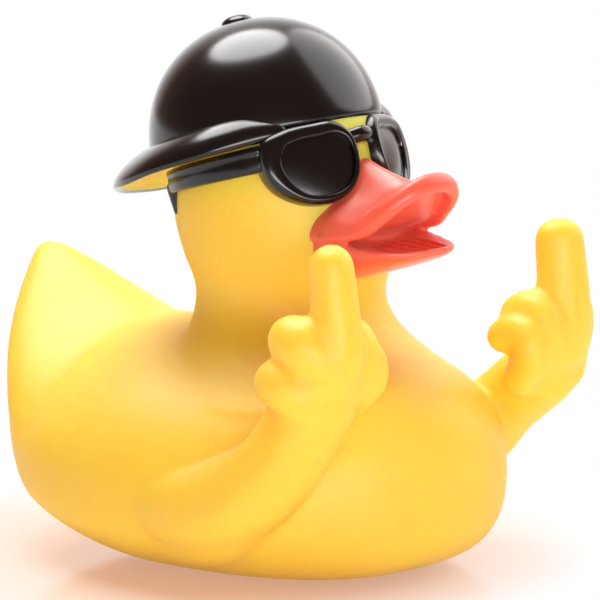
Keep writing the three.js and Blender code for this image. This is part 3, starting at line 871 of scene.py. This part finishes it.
    def bridge(self) -> BMesh:
        """Return the bridge between the rims."""
        points = (
            self.head.point(-2.5, 17.0, 3.1),
            self.head.point(0.0, 18.2, 3.4),
            self.head.point(2.5, 17.0, 3.1),
        )
        return Limb(points, (self.bridge_radius,) * 3, UP, 1.15).build()

    def build(self, paint: Material) -> list[Object]:
        """Return the sunglasses' pieces."""
        pieces = [finished_piece(self.bridge(), "glasses_bridge", paint, Slot.BLACK_PAINT)]
        for side in Side:
            word = side.name.lower()
            pieces.append(finished_piece(self.rim(side), f"glasses_rim_{word}", paint, Slot.BLACK_PAINT))
            pieces.append(finished_piece(self.lens(side), f"glasses_lens_{word}", paint, Slot.BLACK_PAINT))
            pieces.append(finished_piece(self.temple(side), f"glasses_temple_{word}", paint, Slot.BLACK_PAINT))
        return pieces


@dataclass
class Bill:
    """The open bill: a humped upper half with a rolled lip, and a scoop below it."""

    head: HeadFrame
    root: float = 8.0
    half_width: float = 10.2
    upper_reach: float = 30.5
    lower_reach: float = 29.3
    lower_half_width: float = 9.6
    lower_root_top: float = -11.6
    lower_tip_top: float = -16.3
    lower_floor: float = -18.4
    lip_thickness: float = 1.2
    voxel: float = 0.3
    passes: int = 4
    hump: tuple[tuple[float, float, float, float], ...] = (
        (8.0, -11.3, 6.3, 4.9),
        (14.0, -11.0, 6.0, 5.0),
        (17.6, -10.9, 4.5, 6.1),
        (20.0, -10.9, 3.2, 5.7),
        (22.7, -10.4, 2.0, 4.7),
        (26.0, -8.4, 0.9, 1.9),
        (28.4, -7.0, 0.4, 0.4),
        (30.3, -6.5, 0.2, 0.1),
    )
    lip: tuple[tuple[float, float, float, float], ...] = (
        (10.3, 13.5, -11.0, 0.9),
        (9.6, 18.0, -11.7, 0.95),
        (8.5, 22.0, -11.6, 1.25),
        (7.6, 24.4, -10.6, 1.3),
        (7.1, 26.2, -9.7, 1.35),
        (6.4, 27.8, -8.8, 1.4),
        (5.2, 29.2, -7.9, 1.5),
        (3.7, 30.2, -7.2, 1.55),
        (1.9, 30.8, -6.8, 1.6),
        (0.0, 31.0, -6.7, 1.6),
    )

    def plan(self, ahead: float, reach: float, half_width: float) -> float:
        """Return the half width of the bill seen from above, with a round front."""
        start = 17.0
        share = min(max((ahead - start) / (reach - start), 0.0), 1.0)
        return half_width * math.sqrt(max(0.0, 1.0 - share**2.3))

    def upper(self) -> BMesh:
        """Return the hump that sinks from the brow to a broad tip."""
        stations = SmoothPath(tuple(Vector(row[:3]) for row in self.hump))
        ridges = SmoothPath(tuple(Vector((row[0], row[3], 0.0)) for row in self.hump))

        def surface(turn: float, travel: float) -> Vector:
            """Return the hump's skin at a turn about it and a share of its length."""
            ahead, base, swell = stations.at(travel)
            ridge = ridges.at(travel).y
            half = self.plan(ahead, self.upper_reach, self.half_width)
            across, rise = math.cos(turn * math.tau), math.sin(turn * math.tau)
            narrow = math.exp(-((half * across / 4.0) ** 2))
            top = swell * abs(rise) + ridge * narrow
            height = top if rise >= 0.0 else -1.4 * abs(rise) + ridge * narrow * (1.0 - abs(rise))
            return self.head.point(half * across, ahead, base + height)

        return wrapped_grid(surface, 96, 90)

    def upper_lip(self) -> BMesh:
        """Return the rolled lip, tallest at the upturned tip."""
        whole = [*self.lip, *((-x, *rest) for x, *rest in self.lip[-2::-1])]
        points = tuple(self.head.point(x, ahead, up) for x, ahead, up, _ in whole)
        path = SmoothPath(points)
        tall = SmoothPath(tuple(Vector((index, row[3], 0.0)) for index, row in enumerate(whole)))
        upward = self.head.point(0.0, -0.25, 1.0) - self.head.point(0.0, 0.0, 0.0)

        def surface(turn: float, travel: float) -> Vector:
            """Return the lip's skin at a turn about it and a share of its length."""
            heading = path.heading(travel)
            closing = min(1.0, travel / 0.03, (1.0 - travel) / 0.03)
            rise = (upward - heading * upward.dot(heading)).normalized()
            outward = heading.cross(rise)
            angle = turn * math.tau
            thick = self.lip_thickness * fuller(math.cos(angle), 0.9)
            high = tall.at(travel).y * math.sin(angle)
            return path.at(travel) + (outward * thick + rise * high) * closing

        return wrapped_grid(surface, 32, 140)

    def lower(self) -> BMesh:
        """Return the scoop that drops open from the corners of the mouth."""

        def surface(turn: float, travel: float) -> Vector:
            """Return the scoop's skin at a turn about it and a share of its length."""
            ahead = blend(self.root, self.lower_reach, travel)
            half = self.plan(ahead, self.lower_reach, self.lower_half_width)
            top = blend(self.lower_root_top, self.lower_tip_top, ease(travel, 0.2, 1.0))
            across, rise = fuller(math.cos(turn * math.tau), 0.8), math.sin(turn * math.tau)
            full = half / self.lower_half_width
            dish = -1.2 * ease(travel, 0.3, 0.8) * (1.0 - across * across) * full
            depth = (top - self.lower_floor) * full**0.5
            height = dish if rise >= 0.0 else -depth * abs(rise) ** 0.7
            return self.head.point(half * across, ahead, top + height)

        return wrapped_grid(surface, 96, 70)

    def throat(self) -> BMesh:
        """Return the back of the open mouth, between the two halves."""
        points = (self.head.point(0.0, 11.5, -11.8), self.head.point(0.0, 15.5, -11.8))
        return Limb(points, (3.6, 3.4), SIDEWAYS, 2.3).build()

    def ridges(self) -> list[BMesh]:
        """Return the low ridges inside the lower half."""
        forms = []
        for place in (-5.2, -2.6, 0.0, 2.6, 5.2):
            points = (
                self.head.point(place * 1.1, 17.0, -13.6),
                self.head.point(place, 23.0, -15.3),
                self.head.point(place * 0.7, 28.2, -16.8),
            )
            forms.append(Limb(points, (0.55, 0.5, 0.4)).build())
        return forms

    def build(self, paint: Material) -> Object:
        """Return the bill as one moulded piece."""
        forms = [self.upper(), self.upper_lip(), self.lower(), self.throat(), *self.ridges()]
        form = moulded(gathered(forms), self.voxel, self.passes)
        return finished_piece(form, "bill", paint, Slot.RED_PAINT)


def linked(tree: NodeTree, kind: str, **values: float | str | NodeSocket) -> Node:
    """Add a shader node and fill its inputs.

    Args:
        tree: The node tree.
        kind: The node's type.
        values: Its inputs by name, with _ for a space: a socket is linked and anything else is set.

    Returns:
        The new node.
    """
    node = tree.nodes.new(kind)
    for name, value in values.items():
        socket = node.inputs[name.replace("_", " ")]
        if isinstance(value, NodeSocket):
            tree.links.new(value, socket)
        else:
            socket.default_value = value
    return node


def unevenness_group() -> NodeTree:
    """Build the shared effect of a moulded or painted surface that isn't perfectly even.

    Returns:
        A group that gives a colour, a roughness and a height from two sizes of soft noise.
    """
    group = bpy.data.node_groups.new("uneven_surface", "ShaderNodeTree")
    face = group.interface
    for name in ("Colour", "Deep Colour"):
        face.new_socket(name=name, in_out="INPUT", socket_type="NodeSocketColor")
    for name in ("Roughness", "Roughness Swing", "Cloud Scale", "Grain Scale"):
        face.new_socket(name=name, in_out="INPUT", socket_type="NodeSocketFloat")
    face.new_socket(name="Colour", in_out="OUTPUT", socket_type="NodeSocketColor")
    for name in ("Roughness", "Height"):
        face.new_socket(name=name, in_out="OUTPUT", socket_type="NodeSocketFloat")
    given = group.nodes.new("NodeGroupInput").outputs
    result = group.nodes.new("NodeGroupOutput").inputs
    place = group.nodes.new("ShaderNodeTexCoord").outputs["Object"]
    cloud = linked(group, "ShaderNodeTexNoise", Vector=place, Scale=given["Cloud Scale"], Detail=3.0)
    grain = linked(group, "ShaderNodeTexNoise", Vector=place, Scale=given["Grain Scale"], Detail=2.0)
    tint = group.nodes.new("ShaderNodeMix")
    tint.data_type = "RGBA"
    group.links.new(cloud.outputs["Fac"], tint.inputs[0])
    group.links.new(given["Colour"], tint.inputs[6])
    group.links.new(given["Deep Colour"], tint.inputs[7])
    group.links.new(tint.outputs[2], result["Colour"])
    swing = group.nodes.new("ShaderNodeMath")
    swing.operation = "MULTIPLY_ADD"
    group.links.new(cloud.outputs["Fac"], swing.inputs[0])
    group.links.new(given["Roughness Swing"], swing.inputs[1])
    group.links.new(given["Roughness"], swing.inputs[2])
    group.links.new(swing.outputs[0], result["Roughness"])
    group.links.new(grain.outputs["Fac"], result["Height"])
    return group


@dataclass(frozen=True)
class Finish:
    """A finish of the duck's skin: bare vinyl or toy paint."""

    name: str
    colour: Colour
    deep_colour: Colour
    roughness: float
    roughness_swing: float
    cloud_scale: float
    grain_scale: float
    grain_depth: float
    subsurface: float = 0.0
    subsurface_radius: tuple[float, float, float] = (1.0, 0.4, 0.1)
    subsurface_scale: float = 0.002
    specular: float = 0.5
    coat: float = 0.0
    coat_roughness: float = 0.1
    sheen: float = 0.0
    sheen_roughness: float = 0.25

    def build(self, unevenness: NodeTree) -> Material:
        """Make the material.

        Args:
            unevenness: The shared group for uneven surfaces.

        Returns:
            The material.
        """
        material = bpy.data.materials.new(self.name)
        material.use_nodes = True
        tree = material.node_tree
        shader = tree.nodes["Principled BSDF"]
        effect = tree.nodes.new("ShaderNodeGroup")
        effect.node_tree = unevenness
        effect.inputs["Colour"].default_value = self.colour
        effect.inputs["Deep Colour"].default_value = self.deep_colour
        effect.inputs["Roughness"].default_value = self.roughness
        effect.inputs["Roughness Swing"].default_value = self.roughness_swing
        effect.inputs["Cloud Scale"].default_value = self.cloud_scale
        effect.inputs["Grain Scale"].default_value = self.grain_scale
        tree.links.new(effect.outputs["Colour"], shader.inputs["Base Color"])
        tree.links.new(effect.outputs["Roughness"], shader.inputs["Roughness"])
        bump = linked(tree, "ShaderNodeBump", Height=effect.outputs["Height"], Strength=0.5)
        bump.inputs["Distance"].default_value = self.grain_depth
        tree.links.new(bump.outputs["Normal"], shader.inputs["Normal"])
        shader.inputs["Subsurface Weight"].default_value = self.subsurface
        shader.inputs["Subsurface Radius"].default_value = self.subsurface_radius
        shader.inputs["Subsurface Scale"].default_value = self.subsurface_scale
        shader.inputs["Specular IOR Level"].default_value = self.specular
        shader.inputs["Coat Weight"].default_value = self.coat
        shader.inputs["Coat Roughness"].default_value = self.coat_roughness
        shader.inputs["Sheen Weight"].default_value = self.sheen
        shader.inputs["Sheen Roughness"].default_value = self.sheen_roughness
        return material


VINYL = Finish(
    "yellow_vinyl",
    colour=(1.0, 0.65, 0.065, 1.0),
    deep_colour=(1.0, 0.62, 0.055, 1.0),
    roughness=0.42,
    roughness_swing=0.1,
    cloud_scale=60.0,
    grain_scale=1500.0,
    grain_depth=0.00004,
    subsurface=0.7,
    subsurface_radius=(1.0, 0.25, 0.05),
    subsurface_scale=0.01,
)
BLACK = Finish(
    "black_paint",
    colour=(0.004, 0.003, 0.003, 1.0),
    deep_colour=(0.003, 0.002, 0.002, 1.0),
    roughness=0.14,
    roughness_swing=0.08,
    cloud_scale=120.0,
    grain_scale=900.0,
    grain_depth=0.00003,
    specular=0.1,
    coat=1.0,
    coat_roughness=0.2,
    sheen=0.06,
)
RED = Finish(
    "red_paint",
    colour=(0.88, 0.15, 0.095, 1.0),
    deep_colour=(0.8, 0.115, 0.07, 1.0),
    roughness=0.3,
    roughness_swing=0.1,
    cloud_scale=150.0,
    grain_scale=1200.0,
    grain_depth=0.00003,
    subsurface=0.35,
    subsurface_radius=(1.0, 0.25, 0.15),
    subsurface_scale=0.003,
    coat=0.2,
    coat_roughness=0.35,
    sheen=0.15,
)


@dataclass
class Studio:
    """The pale floor with a painted orange glow round the duck, the soft lights and the camera."""

    azimuth: float = -47.0
    elevation: float = 10.0
    distance: float = 0.7
    pixels_per_metre: float = 6200.0
    image: int = 600
    base_pixel: tuple[float, float] = (255.0, 546.0)
    base_point: tuple[float, float, float] = (0.00047, -0.00162, 0.0)
    sensor: float = 36.0
    backdrop: tuple[float, float, float] = (0.72, 0.67, 0.15)
    shadow_middle: tuple[float, float, float] = (-0.004, 0.0, 0.0)

    def camera(self) -> Object:
        """Return the camera at the photograph's angle and framing."""
        turn, lift = math.radians(self.azimuth), math.radians(self.elevation)
        back = Vector(
            (math.sin(turn) * math.cos(lift), -math.cos(turn) * math.cos(lift), math.sin(lift))
        )
        right = Vector((math.cos(turn), math.sin(turn), 0.0))
        up = back.cross(right)
        middle = self.image / 2
        target = Vector(self.base_point) + right * ((middle - self.base_pixel[0]) / self.pixels_per_metre)
        target += up * ((self.base_pixel[1] - middle) / self.pixels_per_metre)
        data = bpy.data.cameras.new("photo_camera")
        data.sensor_width = self.sensor
        data.lens = self.sensor * self.pixels_per_metre * self.distance / self.image
        camera = bpy.data.objects.new("photo_camera", data)
        camera.location = target + back * self.distance
        camera.rotation_euler = back.to_track_quat("Z", "Y").to_euler()
        bpy.context.scene.collection.objects.link(camera)
        bpy.context.scene.camera = camera
        return camera

    def soft_box(self, name: str, place: Vector, size: tuple[float, float], power: float) -> Object:
        """Add one soft box that faces the duck.

        Args:
            name: The lamp's name.
            place: Where it stands, in metres.
            size: Its width and height.
            power: Its power in watts.

        Returns:
            The lamp.
        """
        data = bpy.data.lights.new(name, "AREA")
        data.shape = "ELLIPSE"
        data.size, data.size_y = size
        data.energy = power
        lamp = bpy.data.objects.new(name, data)
        lamp.location = place
        lamp.rotation_euler = (place - Vector((0.0, 0.0, 0.04))).to_track_quat("Z", "Y").to_euler()
        bpy.context.scene.collection.objects.link(lamp)
        return lamp

    def floor(self) -> Object:
        """Return the floor, which shows white to the camera away from the duck and keeps its shadow, with a painted
        orange glow of the duck's bounced light round its base.
        """
        form = bmesh.new()
        bmesh.ops.create_circle(form, cap_ends=True, segments=64, radius=4.0)
        mesh = bpy.data.meshes.new("floor")
        form.to_mesh(mesh)
        form.free()
        material = bpy.data.materials.new("pale_floor")
        material.use_nodes = True
        tree = material.node_tree
        shader = tree.nodes["Principled BSDF"]
        shader.inputs["Base Color"].default_value = (0.98, 0.86, 0.74, 1.0)
        shader.inputs["Roughness"].default_value = 0.2
        shader.inputs["Coat Weight"].default_value = 1.0
        shader.inputs["Coat Roughness"].default_value = 0.12
        # Painted light: the floor's emission is orange near the duck's base, a painted glow of its bounced light,
        # fading to white away from it.
        painted_bounce_colour = tree.nodes.new("ShaderNodeMix")
        painted_bounce_colour.data_type = "RGBA"
        painted_bounce_colour.inputs[6].default_value = (1.0, 0.58, 0.4, 1.0)
        painted_bounce_colour.inputs[7].default_value = (1.0, 1.0, 1.0, 1.0)
        # This emission is white away from the duck and carries the painted orange glow near its base.
        white = linked(tree, "ShaderNodeEmission", Color=painted_bounce_colour.outputs[2])
        ray = tree.nodes.new("ShaderNodeLightPath").outputs
        seen = ray["Is Camera Ray"]
        for kind in ("Is Glossy Ray", "Is Transmission Ray"):
            either = tree.nodes.new("ShaderNodeMath")
            either.operation = "MAXIMUM"
            tree.links.new(seen, either.inputs[0])
            tree.links.new(ray[kind], either.inputs[1])
            seen = either.outputs[0]
        place = tree.nodes.new("ShaderNodeTexCoord").outputs["Object"]
        away = tree.nodes.new("ShaderNodeVectorMath")
        away.operation = "DISTANCE"
        away.inputs[1].default_value = self.shadow_middle
        tree.links.new(place, away.inputs[0])
        fade = linked(tree, "ShaderNodeMapRange", Value=away.outputs["Value"])
        for name, value in {"From Min": 0.035, "From Max": 0.06, "To Min": 0.5, "To Max": 1.0}.items():
            fade.inputs[name].default_value = value
        # How far out the painted orange glow fades to white.
        painted_bounce_fade = linked(tree, "ShaderNodeMapRange", Value=away.outputs["Value"])
        painted_bounce_fade.inputs["From Min"].default_value = 0.028
        painted_bounce_fade.inputs["From Max"].default_value = 0.058
        tree.links.new(painted_bounce_fade.outputs["Result"], painted_bounce_colour.inputs[0])
        share = tree.nodes.new("ShaderNodeMath")
        share.operation = "MULTIPLY"
        tree.links.new(fade.outputs["Result"], share.inputs[0])
        tree.links.new(seen, share.inputs[1])
        mix = linked(tree, "ShaderNodeMixShader", Fac=share.outputs[0])
        tree.links.new(shader.outputs["BSDF"], mix.inputs[1])
        tree.links.new(white.outputs["Emission"], mix.inputs[2])
        tree.links.new(mix.outputs["Shader"], tree.nodes["Material Output"].inputs["Surface"])
        mesh.materials.append(material)
        floor = bpy.data.objects.new("floor", mesh)
        bpy.context.scene.collection.objects.link(floor)
        return floor

    def surround(self) -> None:
        """Set the even light of the room, bright at the backdrop behind the duck and dim towards the camera."""
        world = bpy.data.worlds.new("pale_room")
        world.use_nodes = True
        bpy.context.scene.world = world
        tree = world.node_tree
        facing = tree.nodes.new("ShaderNodeVectorMath")
        facing.operation = "DOT_PRODUCT"
        facing.inputs[1].default_value = self.backdrop
        tree.links.new(tree.nodes.new("ShaderNodeTexCoord").outputs["Generated"], facing.inputs[0])
        level = linked(tree, "ShaderNodeMapRange", Value=facing.outputs["Value"])
        for name, value in {"From Min": 0.68, "From Max": 1.0, "To Min": 0.2, "To Max": 1.1}.items():
            level.inputs[name].default_value = value
        tint = tree.nodes.new("ShaderNodeMix")
        tint.data_type = "RGBA"
        tint.inputs[6].default_value = (1.0, 0.5, 0.32, 1.0)
        tint.inputs[7].default_value = (1.0, 1.0, 1.0, 1.0)
        tree.links.new(level.outputs["Result"], tint.inputs[0])
        room = tree.nodes["Background"].inputs
        tree.links.new(tint.outputs[2], room["Color"])
        tree.links.new(level.outputs["Result"], room["Strength"])

    def build(self) -> None:
        """Set up camera, floor and light."""
        self.camera()
        self.floor()
        self.surround()
        self.soft_box("overhead", Vector((0.07, 0.25, 0.7)), (0.6, 0.6), 7.4)
        self.soft_box("right", Vector((0.6, -0.16, 0.5)), (1.1, 0.9), 4.6)
        self.soft_box("low_front", Vector((-0.52, -0.67, 0.1)), (1.0, 0.18), 4.6)
        bpy.context.scene.view_settings.view_transform = "Standard"


def main() -> None:
    """Build the studio and the duck's pieces in order."""
    logging.basicConfig(level=logging.INFO, format="%(name)s: %(message)s")
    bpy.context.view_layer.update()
    Studio().build()
    unevenness = unevenness_group()
    vinyl, black, red = (finish.build(unevenness) for finish in (VINYL, BLACK, RED))
    head = HeadFrame()
    glasses = Sunglasses(head)
    Skin(head, glasses).build(vinyl)
    Cap(head).build(black, vinyl)
    glasses.build(black)
    Bill(head).build(red)


if __name__ == "__main__":
    main()
